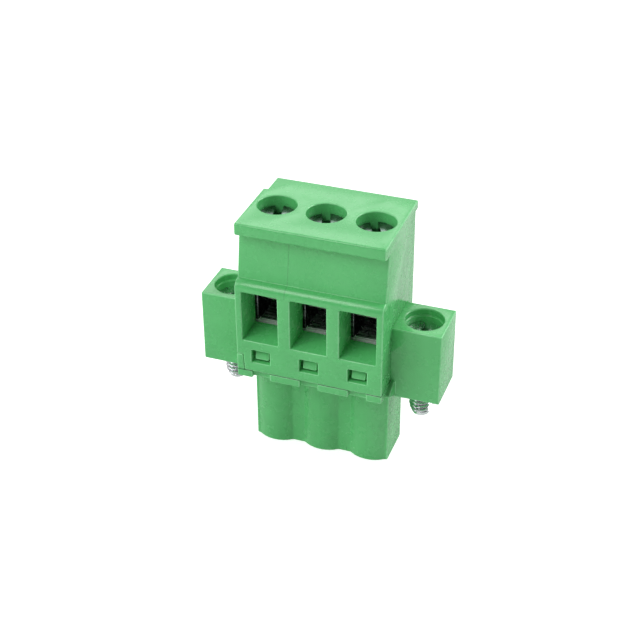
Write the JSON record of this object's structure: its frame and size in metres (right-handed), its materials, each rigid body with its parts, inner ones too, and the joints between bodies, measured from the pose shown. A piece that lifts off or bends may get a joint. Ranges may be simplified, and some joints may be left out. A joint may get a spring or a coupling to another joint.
{
  "type": "pluggable terminal block plug",
  "caption": "Green pluggable screw terminal plug with wire entries at the front, clamp screws on top, a scalloped plug end and a screw flange at each end.",
  "frame": {"origin": "centre of the bounding box's bottom face: at the plug end, under the clamp screws, midway along the row of poles", "axes": "+X along the row of poles, to the right seen from the wire side; +Y from the wire side to the back; +Z from the plug end up to the screw heads"},
  "size_m": [0.0254, 0.011, 0.0271],
  "materials": {
    "housing_plastic": "satin moulded green polyamide",
    "screw_steel": "bright zinc-plated steel",
    "cage_metal": "nickel-plated steel",
    "contact_metal": "tin-plated copper alloy"
  },
  "bodies": {
    "housing": {"upper_housing": "housing_plastic", "lower_housing": "housing_plastic", "contact_1": "contact_metal", "contact_2": "contact_metal", "contact_3": "contact_metal"},
    "clamp_screw_1": {"clamp_screw_1": "screw_steel"},
    "clamp_cage_1": {"clamp_cage_1": "cage_metal"},
    "clamp_screw_2": {"clamp_screw_2": "screw_steel"},
    "clamp_cage_2": {"clamp_cage_2": "cage_metal"},
    "clamp_screw_3": {"clamp_screw_3": "screw_steel"},
    "clamp_cage_3": {"clamp_cage_3": "cage_metal"},
    "flange_screw_left": {"flange_screw_left": "screw_steel"},
    "flange_screw_right": {"flange_screw_right": "screw_steel"}
  },
  "joints": [
    {"name": "clamp_screw_1_turn", "type": "hinge", "parent": "housing", "child": "clamp_screw_1", "pos_m": [-0.00508, 0, 0.022], "axis": [0, 0, -1], "range_deg": [0, 1800]},
    {"name": "clamp_cage_1_lift", "type": "slide", "parent": "housing", "child": "clamp_cage_1", "axis": [0, 0, 1], "range_m": [0, 0.0025]},
    {"name": "clamp_screw_2_turn", "type": "hinge", "parent": "housing", "child": "clamp_screw_2", "pos_m": [0, 0, 0.022], "axis": [0, 0, -1], "range_deg": [0, 1800]},
    {"name": "clamp_cage_2_lift", "type": "slide", "parent": "housing", "child": "clamp_cage_2", "axis": [0, 0, 1], "range_m": [0, 0.0025]},
    {"name": "clamp_screw_3_turn", "type": "hinge", "parent": "housing", "child": "clamp_screw_3", "pos_m": [0.00508, 0, 0.022], "axis": [0, 0, -1], "range_deg": [0, 1800]},
    {"name": "clamp_cage_3_lift", "type": "slide", "parent": "housing", "child": "clamp_cage_3", "axis": [0, 0, 1], "range_m": [0, 0.0025]},
    {"name": "flange_screw_left_turn", "type": "hinge", "parent": "housing", "child": "flange_screw_left", "pos_m": [-0.01014, 0.00027, 0.0136], "axis": [0, 0, -1], "continuous": true},
    {"name": "flange_screw_right_turn", "type": "hinge", "parent": "housing", "child": "flange_screw_right", "pos_m": [0.01014, 0.00027, 0.0136], "axis": [0, 0, -1], "continuous": true}
  ],
  "couplings": [
    {"joint": "clamp_screw_1_turn", "follows": "clamp_cage_1_lift", "rad_per_m": 12566},
    {"joint": "clamp_screw_2_turn", "follows": "clamp_cage_2_lift", "rad_per_m": 12566},
    {"joint": "clamp_screw_3_turn", "follows": "clamp_cage_3_lift", "rad_per_m": 12566}
  ]
}
